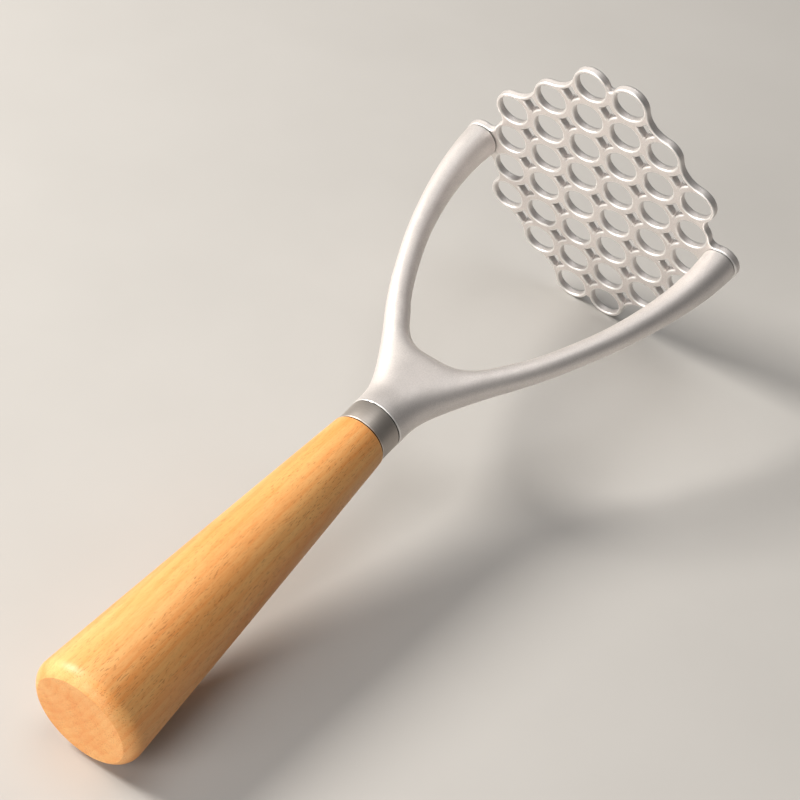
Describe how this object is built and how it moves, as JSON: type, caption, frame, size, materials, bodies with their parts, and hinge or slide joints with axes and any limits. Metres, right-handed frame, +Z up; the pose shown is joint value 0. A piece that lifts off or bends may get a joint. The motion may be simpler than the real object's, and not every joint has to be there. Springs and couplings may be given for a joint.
{
  "type": "potato masher",
  "caption": "Potato masher with a tapered beech handle, a steel ferrule, a cast Y-shaped fork and a perforated mashing plate held between the fork's two arms.",
  "frame": {"origin": "on the table, under the middle of the tool's box, with the tool lying on its butt rim and its plate's two lowest lobes", "axes": "+X from the handle's butt towards the plate, +Z up from the table, +Y across, from the right ear side to the left one; the tool mirrors in the XZ plane"},
  "size_m": [0.2558, 0.0982, 0.1006],
  "materials": {
    "beech": "oiled beech, fine sanded, soft sheen",
    "ferrule_steel": "stainless steel, brushed round the ring",
    "cast_aluminium": "die cast, bead blasted satin",
    "fastener_steel": "plain stainless steel",
    "insert_brass": "turned"
  },
  "bodies": {
    "root": {"beech_handle": "beech", "ferrule": "ferrule_steel", "cast_fork": "cast_aluminium", "mashing_plate": "cast_aluminium", "plate_screw_left": "fastener_steel", "plate_screw_right": "fastener_steel", "tang_stud": "fastener_steel", "threaded_insert": "insert_brass"}
  },
  "joints": []
}
